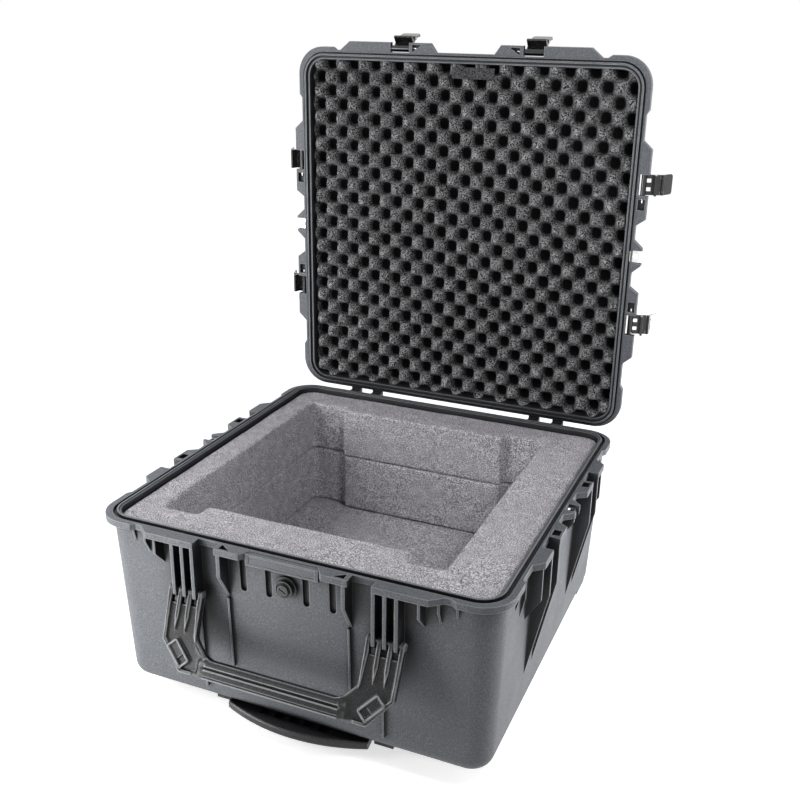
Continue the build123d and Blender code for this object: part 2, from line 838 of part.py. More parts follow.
def handle_web():
    """Face of the recess between the rails of an arm, round the points of the middle fingers."""
    inner, outer = finger_span()
    start, end = handle_taper
    wide = handle_finger_width()
    half = wide / 2
    bend = handle_inner_radius - handle_length + handle_grip_depth
    low = handle_rail - handle_length
    web = Polygon(
        (inner + wide, 1),
        (outer - wide, 1),
        (outer - wide, -handle_slot_length),
        (outer - handle_bend[0] - handle_rail, 3 - handle_bend[1]),
        (outer - handle_foot + 1 - handle_rail, low),
        (inner - handle_inner_radius, low),
        (inner - handle_inner_radius + 4, bend - handle_inner_radius - 3),
        (inner + 0.5, bend - handle_rail),
        (inner - 2 + handle_rail, bend + 1),
        (inner + wide, -handle_slot_length),
        align=None,
    )
    for index in range(1, finger_count - 1):
        middle = finger_first + finger_pitch * index
        web -= Polygon(
            (middle - half, 2), (middle + half, 2), (middle + half, -start),
            (middle, -end), (middle - half, -start), align=None,
        )
    return web


def front_handle():
    """The fold-down handle: two forked arms and a thick grip, hanging straight down."""
    half = handle_outline()
    whole = half + mirror(half, Plane.YZ)
    thick = handle_thickness
    face_plane = Plane(
        origin=(0, handle_y - thick / 2, -handle_pivot_drop), x_dir=(1, 0, 0), z_dir=(0, -1, 0)
    )
    inward = (0, 1, 0)
    body = extrude(face_plane * whole, thick, dir=inward)
    web = extrude(face_plane.offset(1) * handle_web(), handle_relief + 1, dir=inward)
    body -= both_ways(web)
    inner, outer = finger_span()
    grip_low = -handle_pivot_drop - handle_length
    grip_half = inner - grip_end
    grip = Pos(0, handle_y, grip_low + handle_grip_depth / 2) * Box(
        2 * grip_half, handle_grip_thickness, handle_grip_depth
    )
    long_edges = (grip.edges() | Axis.X).group_by(Axis.Z)
    grip = fillet(long_edges[-1], grip_round)
    grip = fillet((grip.edges() | Axis.X).group_by(Axis.Z)[0], grip_low_round)
    place, width, depth = grip_groove
    grip -= block(
        -across, across, handle_y - handle_grip_thickness,
        handle_y - handle_grip_thickness / 2 + depth, grip_low + place, grip_low + place + width,
    )
    body += grip
    for side in (1, -1):
        barrel = rod(inner, outer, handle_y, -handle_pivot_drop, handle_barrel_radius)
        body += barrel if side > 0 else mirror(barrel, Plane.YZ)
        body = corner_boss(body, side)
    for index in range(finger_count - 1):
        middle = finger_first + finger_pitch * (index + 0.5)
        width = handle_fin_thickness + 2 * finger_gap
        slot = block(
            middle - width / 2, middle + width / 2, handle_y - 20, handle_y + 20,
            -handle_pivot_drop - handle_slot_length, -handle_pivot_drop + 20,
        )
        body -= both_ways(slot)
    body -= rod(-across, across, handle_y, -handle_pivot_drop, handle_pin_radius + pin_clearance)
    return turn_about_x(body, handle_y, -handle_pivot_drop, -handle_rest_angle)


def corner_boss(body, side):
    """Add the rimmed boss at one lower corner of the handle, with its recess and pad."""
    length, height = boss_size
    front = handle_y - handle_thickness / 2 - boss_front
    thick = handle_thickness / 2 + boss_front
    turn = Rot(0, -side * boss_turn, 0)
    spot = Pos(side * boss_place[0], front, -handle_pivot_drop - boss_place[1]) * turn
    face = Plane.XZ * RectangleRounded(length, height, boss_corner)
    boss = spot * extrude(face, thick, dir=(0, 1, 0))
    hollow = (length - 2 * boss_rim, height - 2 * boss_rim)
    recess = spot * Pos(0, boss_depth / 2 - 1, 0) * Box(hollow[0], boss_depth + 2, hollow[1])
    pad_length = hollow[0] * 2 / 3
    middle = side * (hollow[0] - pad_length) / 2
    pad = spot * Pos(middle, boss_depth - boss_pad_height / 2, 0) * Box(
        pad_length, boss_pad_height, hollow[1]
    )
    return body + boss - recess + pad


# ---- lid -----------------------------------------------------------------------------------------
def lid_run(z):
    """How far the lid's wall has leaned in at height z above the rim."""
    return lid_draft_run * z / lid_depth


def lid_ribs():
    """Gussets over the lid's lugs."""
    ribs = []
    for side in ("front", "right", "left"):
        for along in (latch_gap_start - rib_thickness / 2, latch_gap_end + rib_thickness / 2):
            profile = [
                (0, 9),
                (lug_offset - 0.5, 9),
                (lug_offset - 0.5, 14),
                (wall_offset - lid_run(50), 50),
                (0, 50),
            ]
            ribs += [on_side(side, r) for r in both_ways(rib(along, rib_thickness, profile))]
    return ribs


def lid_knuckles():
    """The lid's hinge knuckles and the arms that carry them."""
    solids = []
    for start, end in knuckle_spans()[1]:
        back = hinge_y + knuckle_radius
        top = lid_start + flange_thickness
        arm = rod(start, end, hinge_y, -hinge_drop, knuckle_radius)
        arm += block(start, end, hinge_y - 5.5, back, -hinge_drop, top)
        arm += block(start, end, lip_half_y + 2, back, top - 7, top)
        solids += both_ways(arm)
    return solids


def lid_shell():
    """The moulded lid, drawn closed."""
    body = drafted(wall_offset, lid_start, lid_depth, 0, lid_draft_run)
    body = fillet(body.edges().group_by(Axis.Z)[-1], lid_edge_radius)
    roof = lid_depth - lid_roof
    cavity = drafted(lid_cavity_offset, -1, roof, lid_run(-1), lid_run(roof))
    cavity = fillet(cavity.edges().group_by(Axis.Z)[-1], cavity_edge_radius)
    flange = extrude(Pos(0, 0, lid_start) * RIM_PLATE, flange_thickness)
    body = body + [flange] + lid_ribs() + lid_knuckles() - cavity
    body -= lug_pockets(lid_start - 1, lid_start + lug_pocket_depth)
    for half_x, place in roof_rails:
        for y in (-place, place):
            edge = roof_rail_width / 2
            top = lid_depth + roof_rail_height
            body += block(-half_x, half_x, y - edge, y + edge, lid_depth - 4, top)
    body -= ring(seal_groove_out, seal_groove_in, lid_start - 1, seal_groove_roof)
    body -= ring(relief_out, tongue_out, lid_start - 1, relief_roof)
    body += ring(tongue_out, seal_groove_out, -tongue_drop, seal_groove_roof)
    tools = [rod(-across, across, hinge_y, -hinge_drop, hinge_pin_radius + pin_clearance)]
    tools += pin_holes(latch_pin_radius)
    tools += padlock_pair(padlock_slot(padlock_rise, padlock_rise + padlock_thickness))
    return body - tools


def lid_pieces():
    """The lid and the pieces that it carries."""
    keep("lid_shell", open_lid(lid_shell()))
    gasket = ring(
        seal_groove_out - seat_gap, seal_groove_in + seat_gap, lip_height + seat_gap,
        seal_groove_roof,
    )
    keep("lid_gasket", open_lid(gasket))
    roof = lid_depth - lid_roof - seat_gap
    foam = drafted(
        lid_cavity_offset - seat_gap, lid_foam_start, roof, lid_run(lid_foam_start), lid_run(roof)
    )
    foam = fillet(foam.edges().group_by(Axis.Z)[-1], cavity_edge_radius)
    keep("lid_foam", open_lid(foam))
    wide, deep, thick = lid_pad_size
    front = -(lip_half_y + lid_cavity_offset - lid_pad_inset)
    pad = block(
        lid_pad_middle - wide / 2, lid_pad_middle + wide / 2, front, front + deep,
        lid_foam_start - thick, lid_foam_start,
    )
    keep("lid_pad", open_lid(pad))
    plate = padlock_plate(padlock_rise, padlock_rise + padlock_thickness)
    keep("padlock_plates_lid", open_lid(Compound(padlock_pair(plate))))
    keep("latch_pins", open_lid(Compound(pin_rods())))


def pin_rods():
    """The six pins that the latch arms turn on."""
    rods = []
    for side in ("front", "right", "left"):
        pin = rod(
            latch_gap_start - pin_seat, latch_gap_end + pin_seat, -latch_pin_offset,
            latch_pin_height, latch_pin_radius,
        )
        rods += [on_side(side, half) for half in both_ways(pin)]
    return rods


# ---- latches -------------------------------------------------------------------------------------
def latch_arm():
    """A latch arm at the front rim, shut, on its pin in the lid's lugs."""
    x0 = latch_middle - latch_width / 2
    x1 = latch_middle + latch_width / 2
    face = -(latch_pin_offset + arm_face_offset)
    back = face + arm_thickness
    pin_y = -latch_pin_offset
    end = latch_pin_height - hook_drop - hook_thickness
    pivot = latch_pin_height - lever_pivot_drop
    arm = rod(x0, x1, pin_y, latch_pin_height, latch_barrel_radius)
    shoulder = pivot + lever_knuckle_radius + shoulder_gap
    arm += block(x0, x1, face, back, shoulder, latch_pin_height + 3)
    arm += block(x0, x1, face, pin_y + hook_reach, end, end + hook_thickness)
    tongue_half = latch_width / 2 - lever_ear - seat_gap
    arm += block(
        latch_middle - tongue_half, latch_middle + tongue_half, face, back, pivot, shoulder
    )
    arm += rod(
        latch_middle - tongue_half, latch_middle + tongue_half, face + lever_pin_inset, pivot,
        lever_knuckle_radius,
    )
    for side in (-1, 1):
        middle = latch_middle + side * (arm_window / 2 + 4)
        arm -= block(
            middle - arm_window / 2, middle + arm_window / 2, face - 1, back + 1,
            end + hook_thickness + 4, latch_pin_height - latch_barrel_radius - 1,
        )
    arm -= rod(x0 - 1, x1 + 1, pin_y, latch_pin_height, latch_pin_radius + pin_clearance)
    arm -= rod(x0 - 1, x1 + 1, face + lever_pin_inset, pivot, lever_pin_radius)
    return arm


def latch_lever():
    """The lever of a latch, shut: it carries on down from the arm."""
    x0 = latch_middle - latch_width / 2
    x1 = latch_middle + latch_width / 2
    pin_y = -(latch_pin_offset + arm_face_offset) + lever_pin_inset
    pivot = latch_pin_height - lever_pivot_drop
    low = pivot - lever_length
    half = lever_thickness / 2
    lever = block(x0, x1, pin_y - half, pin_y + half, low, pivot - lever_root)
    lever += block(x0, x1, pin_y - half - 2, pin_y + half, low, low + 3)
    corners = (lever.edges() | Axis.Y).group_by(Axis.Z)[0]
    lever = fillet(corners, lever_corner)
    for ear in ((x0, x0 + lever_ear), (x1 - lever_ear, x1)):
        lever += rod(*ear, pin_y, pivot, lever_knuckle_radius)
        lever += block(*ear, pin_y - half, pin_y + half, pivot - lever_root - 1, pivot)
    return lever - rod(x0 - 1, x1 + 1, pin_y, pivot, lever_pin_radius + pin_clearance)


def lever_pin():
    """The pin of a lever, from ear to ear."""
    pin_y = -(latch_pin_offset + arm_face_offset) + lever_pin_inset
    half = latch_width / 2
    return rod(
        latch_middle - half, latch_middle + half, pin_y, latch_pin_height - lever_pivot_drop,
        lever_pin_radius,
    )


def latches():
    """All six latches on the open lid, each swung out and with its lever lifted."""
    pin_y = -latch_pin_offset
    pivot_y = -(latch_pin_offset + arm_face_offset) + lever_pin_inset
    pivot_z = latch_pin_height - lever_pivot_drop
    number = 0
    for side in ("front", "right", "left"):
        arm_open = front_arm_open if side == "front" else side_arm_open
        lever_open = front_lever_open if side == "front" else side_lever_open
        for way in (-1, 1):
            number += 1
            arm, lever, pin = latch_arm(), latch_lever(), lever_pin()
            lever = turn_about_x(lever, pivot_y, pivot_z, -lever_open)
            pieces = {"latch_arm": arm, "latch_lever": lever, "lever_pin": pin}
            for name, piece in pieces.items():
                piece = turn_about_x(piece, pin_y, latch_pin_height, -arm_open)
                if way < 0:
                    piece = mirror(piece, Plane.YZ)
                keep(f"{name}_{number}", open_lid(on_side(side, piece)))


# ---- running gear --------------------------------------------------------------------------------
def wheels():
    """Two pairs of wheels at the back, each on its axle."""
    number = 0
    for way in (-1, 1):
        for place in (0, 1):
            number += 1
            outer = wheel_outer_x - place * (wheel_width + wheel_gap)
            middle = way * (outer - wheel_width / 2)
            spot = Pos(middle, wheel_y, wheel_z) * Rot(0, 90, 0)
            tyre = Cylinder(wheel_radius, wheel_width)
            tyre = fillet(tyre.edges() | GeomType.CIRCLE, 4) - Cylinder(hub_radius, wheel_width)
            hub = Cylinder(hub_radius, wheel_width) - Cylinder(
                axle_radius + pin_clearance, wheel_width + 2
            )
            dish = Cylinder(hub_radius - 4, 5) - Cylinder(axle_radius + 5, 5)
            for face in (-1, 1):
                hub -= Pos(0, 0, face * (wheel_width - 5) / 2) * dish
            keep(f"wheel_tyre_{number}", spot * tyre)
            keep(f"wheel_hub_{number}", spot * hub)
    inner = wheel_outer_x - 2 * wheel_width - wheel_gap - well_clearance - well_wall
    axle = rod(inner, wheel_outer_x + well_clearance + well_wall, wheel_y, wheel_z, axle_radius)
    keep("axles", Compound(both_ways(axle)))


def feet():
    """Two feet under the front of the base."""
    solids = []
    for way in (-1, 1):
        top = Pos(way * foot_x, foot_y, -base_depth) * RectangleRounded(foot_size, foot_size, 8)
        low = Pos(way * foot_x, foot_y, -rim_height) * RectangleRounded(foot_base, foot_base, 8)
        solids.append(loft([low, top]))
    keep("feet", Compound(solids))


def tube_box(grow, y0, y1):
    """The trolley's tube envelope on the right, grown all round."""
    half_x = tube_width / 2 + grow
    half_z = tube_height / 2 + grow
    return block(tube_x - half_x, tube_x + half_x, y0, y1, tube_z - half_z, tube_z + half_z)


def trolley():
    """Channels and brackets under the base, and the sliding tubes, grip and trigger."""
    channel = tube_box(slide_gap + channel_wall, bracket_back, channel_rear)
    channel -= tube_box(slide_gap, bracket_back - 1, channel_rear + 1)
    keep("trolley_channels", Compound(both_ways(channel)))
    low = tube_z - tube_height / 2 - slide_gap - channel_wall
    bay_back = bracket_front + bracket_bay_depth
    front = block(-bracket_half, bracket_half, bracket_front, bracket_back, low, -base_depth)
    bay = block(
        -grip_half - 2, grip_half + 2, bracket_front - 1, bay_back, low - 1, -base_depth + 1
    )
    bore = tube_box(slide_gap, bracket_front - 1, bracket_back + 1)
    front = front - bay - both_ways(bore)
    keep("trolley_front_bracket", front)
    rear = block(
        -tube_x - 22, tube_x + 22, channel_rear, channel_rear + rear_bracket_length, low,
        -base_depth,
    )
    keep("trolley_rear_bracket", rear)
    sleeve_back = finger_hole_back + 12
    tube = tube_box(0, sleeve_back - 12, channel_rear - 12)
    tube -= tube_box(-tube_wall, sleeve_back - 13, channel_rear - 11)
    keep("trolley_tubes", Compound(both_ways(tube)))
    top = tube_z + grip_thickness / 2
    bow = ThreePointArc((-grip_half, grip_end_front), (0, grip_front), (grip_half, grip_end_front))
    sides = Polyline(
        (grip_half, grip_end_front), (grip_half - 6, sleeve_back), (-grip_half + 6, sleeve_back),
        (-grip_half, grip_end_front),
    )
    face = make_face([bow, sides])
    grip = extrude(Pos(0, 0, top - grip_thickness) * face, grip_thickness)
    grip = fillet(grip.edges().filter_by(GeomType.CIRCLE), 4)
    hole_front = finger_hole_back - finger_hole[1]
    hole = block(
        -finger_hole[0] / 2, finger_hole[0] / 2, hole_front, finger_hole_back, top - 30, top + 5
    )
    grip -= hole
    for index in range(grip_pocket_count):
        along = (index - (grip_pocket_count - 1) / 2) * grip_pocket_pitch
        wide, long, deep = grip_pocket
        grip -= block(
            along - wide / 2, along + wide / 2, hole_front - 6 - long, hole_front - 6,
            top - deep, top + 1,
        )
    wide, thick, tall = trigger_size
    recess = block(
        -wide / 2 - slide_gap, wide / 2 + slide_gap, hole_front - trigger_travel - seat_gap,
        hole_front + 1, tube_z - tall / 2 - slide_gap, tube_z + tall / 2 + slide_gap,
    )
    grip = grip - recess - both_ways(tube_box(0, sleeve_back - 12, sleeve_back + 1))
    keep("trolley_grip", grip)
    trigger = block(
        -wide / 2, wide / 2, hole_front, hole_front + thick, tube_z - tall / 2, tube_z + tall / 2
    )
    keep("trolley_trigger", trigger)


keep("base_shell", base_shell())
foam_pieces()
keep("name_plate", name_plate())
pressure_valve()
plate_low = -padlock_rise - padlock_thickness
plate = padlock_plate(plate_low, plate_low + padlock_thickness)
keep("padlock_plates_base", Compound(padlock_pair(plate)))
pins()
wheels()
feet()
trolley()
keep("handle", front_handle())
lid_pieces()
latches()

os.makedirs("parts", exist_ok=True)
for name, shape in PARTS.items():
    export_step(shape, f"parts/{name}.step")
print(f"origin is {case_shift_y:.2f} mm behind the rim's middle and {rim_height:.1f} mm below it")
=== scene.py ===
"""Finish and soft goods for a large wheeled hard case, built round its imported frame.
Lengths are metres: X to the right, Y to the back, Z up, and the origin on the floor."""
import json
from math import cos, pi, radians, sin

import bpy
from mathutils import Matrix, Vector, noise


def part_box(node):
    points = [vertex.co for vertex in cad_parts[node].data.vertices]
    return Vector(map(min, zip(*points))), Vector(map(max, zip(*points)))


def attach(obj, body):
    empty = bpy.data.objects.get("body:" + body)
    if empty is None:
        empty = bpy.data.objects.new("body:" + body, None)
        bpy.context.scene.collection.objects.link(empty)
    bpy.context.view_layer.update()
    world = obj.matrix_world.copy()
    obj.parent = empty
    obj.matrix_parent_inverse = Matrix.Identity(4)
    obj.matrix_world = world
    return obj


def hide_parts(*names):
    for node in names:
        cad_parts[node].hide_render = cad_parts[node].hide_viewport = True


MM = 0.001

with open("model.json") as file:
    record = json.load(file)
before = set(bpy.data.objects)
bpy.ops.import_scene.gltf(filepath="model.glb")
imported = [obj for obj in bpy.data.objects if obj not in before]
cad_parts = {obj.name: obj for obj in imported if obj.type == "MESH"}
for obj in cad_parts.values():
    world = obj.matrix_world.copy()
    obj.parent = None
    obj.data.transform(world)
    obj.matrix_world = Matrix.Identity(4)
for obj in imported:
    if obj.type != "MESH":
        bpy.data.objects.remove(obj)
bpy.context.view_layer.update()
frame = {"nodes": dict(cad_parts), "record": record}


# ---- camera --------------------------------------------------------------------------------------
CAMERA_TARGET = Vector((34.96, -20.87, 452.8)) * MM
CAMERA_DISTANCE = 1633.8 * MM
CAMERA_AZIMUTH = radians(22.91)
CAMERA_ELEVATION = radians(20.86)
CAMERA_ROLL = radians(0.87)
CAMERA_LENS = 45.73             # millimetres, as Blender gives a lens and a sensor
SENSOR_WIDTH = 36.0
VIEW_LIMIT = 60.0


def set_camera():
    """A camera in front of the case, a little to the right of it and above."""
    level = cos(CAMERA_ELEVATION)
    back = Vector((sin(CAMERA_AZIMUTH) * level, -cos(CAMERA_AZIMUTH) * level, sin(CAMERA_ELEVATION)))
    right = Vector((0, 0, 1)).cross(back).normalized()
    up = back.cross(right)
    tilted_right = right * cos(CAMERA_ROLL) + up * sin(CAMERA_ROLL)
    tilted_up = up * cos(CAMERA_ROLL) - right * sin(CAMERA_ROLL)
    turn = Matrix((tilted_right, tilted_up, back)).transposed().to_4x4()
    camera = bpy.data.objects.new("camera", bpy.data.cameras.new("camera"))
    bpy.context.scene.collection.objects.link(camera)
    camera.matrix_world = Matrix.Translation(CAMERA_TARGET + back * CAMERA_DISTANCE) @ turn
    camera.data.lens = CAMERA_LENS
    camera.data.sensor_width = SENSOR_WIDTH
    camera.data.clip_end = VIEW_LIMIT
    bpy.context.scene.camera = camera


# ---- shader nodes --------------------------------------------------------------------------------
def feed(tree, value, socket):
    """Give a node's socket its value, which is another node's socket, a number or a colour."""
    if isinstance(value, bpy.types.NodeSocket):
        tree.links.new(value, socket)
    else:
        socket.default_value = value


def add_math(tree, operation, first, second):
    """A maths node on two values, each a socket or a number."""
    node = tree.nodes.new("ShaderNodeMath")
    node.operation = operation
    feed(tree, first, node.inputs[0])
    feed(tree, second, node.inputs[1])
    return node.outputs[0]


def add_noise(tree, place, scale, detail, rough):
    """A noise texture at a scale per metre, a number or a socket."""
    node = tree.nodes.new("ShaderNodeTexNoise")
    feed(tree, place, node.inputs["Vector"])
    feed(tree, scale, node.inputs["Scale"])
    feed(tree, detail, node.inputs["Detail"])
    feed(tree, rough, node.inputs["Roughness"])
    return node.outputs["Fac"]


def add_range(tree, value, low, high, to_low=0.0, to_high=1.0):
    """A value taken from one range to another and held inside it."""
    node = tree.nodes.new("ShaderNodeMapRange")
    feed(tree, value, node.inputs["Value"])
    feed(tree, low, node.inputs["From Min"])
    feed(tree, high, node.inputs["From Max"])
    feed(tree, to_low, node.inputs["To Min"])
    feed(tree, to_high, node.inputs["To Max"])
    return node.outputs[0]


def add_colour_mix(tree, amount, first, second):
    """A blend of two colours."""
    node = tree.nodes.new("ShaderNodeMix")
    node.data_type = "RGBA"
    feed(tree, amount, node.inputs["Factor"])
    for label, value in (("A", first), ("B", second)):
        feed(tree, value, [s for s in node.inputs if s.name == label and s.type == "RGBA"][0])
    return [s for s in node.outputs if s.type == "RGBA"][0]


def add_bump(tree, distance, height):
    """A bump node; distance is metres."""
    node = tree.nodes.new("ShaderNodeBump")
    feed(tree, distance, node.inputs["Distance"])
    feed(tree, height, node.inputs["Height"])
    return node


def object_place(tree):
    """The place on the piece, in its own coordinates."""
    return tree.nodes.new("ShaderNodeTexCoord").outputs["Object"]


def new_material(name):
    """A new material, its node tree and its main shader."""
    material = bpy.data.materials.new(name)
    material.use_nodes = True
    return material, material.node_tree, material.node_tree.nodes["Principled BSDF"]


# ---- floor and surroundings ----------------------------------------------------------------------
FLOOR_SIZE = 14.0
FLOOR_GREY = (0.86, 0.86, 0.86, 1)
GLOW_NEAR, GLOW_FAR = 0.6, 1.5          # from the case's middle, where the floor brightens
GLOW_LOW, GLOW_HIGH = 0.66, 1.0
SKY_FRONT, SKY_BACK = -0.9, 0.1         # a direction's Y, where the sky's light starts and is full
SKY_LIGHT = 0.1


def seen_directly(tree):
    """One for the rays that show the background: camera, glossy and transmitted rays."""
    path = tree.nodes.new("ShaderNodeLightPath")
    either = add_math(tree, "MAXIMUM", path.outputs["Is Camera Ray"], path.outputs["Is Glossy Ray"])
    return add_math(tree, "MAXIMUM", either, path.outputs["Is Transmission Ray"])


def set_floor():
    """A plain pale floor that keeps the case's shadow and turns white away from it."""
    bpy.ops.mesh.primitive_plane_add(size=FLOOR_SIZE, location=(0, 0, 0))
    floor = bpy.context.object
    floor.name = "floor"
    material, tree, shader = new_material("pale floor")
    shader.inputs["Base Color"].default_value = FLOOR_GREY
    shader.inputs["Roughness"].default_value = 0.9
    shader.inputs["Specular IOR Level"].default_value = 0.1
    away = tree.nodes.new("ShaderNodeVectorMath")
    away.operation = "LENGTH"
    feed(tree, object_place(tree), away.inputs[0])
    level = add_range(tree, away.outputs["Value"], GLOW_NEAR, GLOW_FAR, GLOW_LOW, GLOW_HIGH)
    glow = tree.nodes.new("ShaderNodeEmission")
    feed(tree, level, glow.inputs["Strength"])
    no_glow = tree.nodes.new("ShaderNodeEmission")
    no_glow.inputs["Strength"].default_value = 0
    choose = tree.nodes.new("ShaderNodeMixShader")
    feed(tree, seen_directly(tree), choose.inputs["Fac"])
    feed(tree, no_glow.outputs[0], choose.inputs[1])
    feed(tree, glow.outputs[0], choose.inputs[2])
    total = tree.nodes.new("ShaderNodeAddShader")
    feed(tree, shader.outputs[0], total.inputs[0])
    feed(tree, choose.outputs[0], total.inputs[1])
    feed(tree, total.outputs[0], tree.nodes["Material Output"].inputs["Surface"])
    floor.data.materials.append(material)


def set_surroundings():
    """White where the camera looks; as a light, dim behind and beside, and dark in front."""
    world = bpy.data.worlds.new("studio")
    bpy.context.scene.world = world
    world.use_nodes = True
    tree = world.node_tree
    parts = tree.nodes.new("ShaderNodeSeparateXYZ")
    feed(tree, tree.nodes.new("ShaderNodeTexCoord").outputs["Generated"], parts.inputs[0])
    light = tree.nodes.new("ShaderNodeMapRange")
    light.interpolation_type = "SMOOTHSTEP"
    light.inputs["From Min"].default_value = SKY_FRONT
    light.inputs["From Max"].default_value = SKY_BACK
    light.inputs["To Min"].default_value = 0.0
    light.inputs["To Max"].default_value = SKY_LIGHT
    feed(tree, parts.outputs["Y"], light.inputs["Value"])
    choose = tree.nodes.new("ShaderNodeMix")
    choose.data_type = "FLOAT"
    feed(tree, seen_directly(tree), choose.inputs["Factor"])
    feed(tree, light.outputs[0], choose.inputs["A"])
    choose.inputs["B"].default_value = 1.0
    backdrop = tree.nodes["Background"]
    feed(tree, choose.outputs["Result"], backdrop.inputs["Strength"])
    backdrop.inputs["Color"].default_value = (1, 1, 1, 1)


# Each lamp's place, the point that it looks at, its width and height, and its power in watts.
LAMPS = {
    "front left lamp": ((-0.9, -0.9, 0.6), (-0.3, -0.33, 0.25), (0.5, 0.5), 8.0),
    "low front lamp": ((-0.28, -0.64, 0.04), (-0.25, -0.35, 0.1), (0.3, 0.08), 0.25),
    "low left lamp": ((-0.62, -0.85, 0.1), (-0.25, -0.33, 0.1), (0.5, 0.2), 2.2),
    "high left lamp": ((-0.7, -0.3, 1.0), (-0.2, -0.3, 0.32), (0.4, 0.4), 4.4),
    "lid lamp": ((0.75, -0.45, 1.15), (0.3, 0.25, 0.75), (0.3, 0.3), 6.0),
    "back right lamp": ((2.0, 1.8, 1.3), (0, 0, 0.3), (1.2, 1.2), 28),
    "low right lamp": ((1.2, 0.45, 0.25), (0.37, -0.1, 0.12), (0.5, 0.3), 6.0),
}


def set_lamps():
    """Soft lamps: close ones round the front and the left, a large one behind, a low one right."""
    for name, (place, aim, size, power) in LAMPS.items():
        lamp = bpy.data.lights.new(name, "AREA")
        lamp.shape = "RECTANGLE"
        lamp.size, lamp.size_y = size
        lamp.energy = power
        holder = bpy.data.objects.new(name, lamp)
        bpy.context.scene.collection.objects.link(holder)
        holder.location = place
        look = Vector(aim) - Vector(place)
        holder.rotation_euler = look.to_track_quat("-Z", "Y").to_euler()


# ---- shader groups -------------------------------------------------------------------------------
# Painted shade: ambient occlusion darkens hollows towards this colour.
HOLLOW_SHADE_BLACK = (0.004, 0.004, 0.005, 1)
OPEN_AIR, SHUT_IN = 0.9, 0.6            # share of open air where the painted shade in a hollow begins and where it is black
EDGE_START, EDGE_FULL = 0.995, 0.90     # cosine between a face and its rounded edge, where the painted edge highlight begins and where it is full
PATCH_SCALE = 16.0                      # noise per metre that varies the painted edge highlight and the roughness
COARSE_CELL_SCALE = 60.0
COARSE_CELL_SHARE = 0.12                # what the foam's coarse pattern adds to its fine one


def new_group(name, inputs, outputs):
    """A shader group with named sockets; inputs are (name, kind, value)."""
    group = bpy.data.node_groups.new(name, "ShaderNodeTree")
    for label, kind, value in inputs:
        socket = group.interface.new_socket(label, in_out="INPUT", socket_type=kind)
        socket.default_value = value
    for label, kind in outputs:
        group.interface.new_socket(label, in_out="OUTPUT", socket_type=kind)
    return group, group.nodes.new("NodeGroupInput").outputs, group.nodes.new("NodeGroupOutput").inputs


def moulded_group():
    """Pebbled moulding: fine grain and speckle, rounded edges with a painted highlight, and painted
    shade in hollows.
    """
    group, given, out = new_group(
        "moulded grain",
        [
            ("Colour", "NodeSocketColor", (0.1, 0.1, 0.1, 1)),
            ("Highlight And Speck Colour", "NodeSocketColor", (0.2, 0.2, 0.2, 1)),
            ("Grain Scale", "NodeSocketFloat", 900.0),
            ("Grain Depth", "NodeSocketFloat", 0.04 * MM),
            ("Edge Radius", "NodeSocketFloat", 0.8 * MM),
            ("Speckle", "NodeSocketFloat", 0.3),
            ("Painted Shade Reach", "NodeSocketFloat", 40 * MM),
            ("Roughness", "NodeSocketFloat", 0.5),
        ],
        [
            ("Colour", "NodeSocketColor"),
            ("Roughness", "NodeSocketFloat"),
            ("Normal", "NodeSocketVector"),
        ],
    )
    place = object_place(group)
    grain = add_noise(group, place, given["Grain Scale"], detail=2.0, rough=0.6)
    patches = add_noise(group, place, PATCH_SCALE, detail=3.0, rough=0.6)

    rounded = group.nodes.new("ShaderNodeBevel")
    rounded.samples = 4
    feed(group, given["Edge Radius"], rounded.inputs["Radius"])
    bump = add_bump(group, given["Grain Depth"], grain)
    feed(group, rounded.outputs["Normal"], bump.inputs["Normal"])

    flat = group.nodes.new("ShaderNodeNewGeometry").outputs["True Normal"]
    turned = group.nodes.new("ShaderNodeVectorMath")
    turned.operation = "DOT_PRODUCT"
    feed(group, rounded.outputs["Normal"], turned.inputs[0])
    feed(group, flat, turned.inputs[1])
    # Painted highlight: faces brighten near their rounded edges, in uneven patches. The speckle is
    # the grain's own colour.
    edge = add_range(group, turned.outputs["Value"], EDGE_START, EDGE_FULL)
    uneven = add_range(group, patches, low=0.35, high=0.65, to_low=0.6)
    edge_highlight = add_math(group, "MULTIPLY", edge, uneven)
    bright_grain = add_range(group, grain, low=0.46, high=0.66)
    speck = add_math(group, "MULTIPLY", bright_grain, given["Speckle"])
    amount = add_math(group, "MAXIMUM", edge_highlight, speck)
    highlight_and_speck = add_colour_mix(group, amount, given["Colour"], given["Highlight And Speck Colour"])

    # Painted shade: ambient occlusion darkens hollows towards black.
    air = group.nodes.new("ShaderNodeAmbientOcclusion")
    air.samples = 8
    feed(group, given["Painted Shade Reach"], air.inputs["Distance"])
    hollow_shade = add_range(group, air.outputs["AO"], OPEN_AIR, SHUT_IN)
    feed(group, add_colour_mix(group, hollow_shade, highlight_and_speck, HOLLOW_SHADE_BLACK), out["Colour"])
    shift = add_range(group, patches, low=0.3, high=0.7, to_low=-0.05, to_high=0.05)
    feed(group, add_math(group, "ADD", given["Roughness"], shift), out["Roughness"])
    feed(group, bump.outputs["Normal"], out["Normal"])
    return group


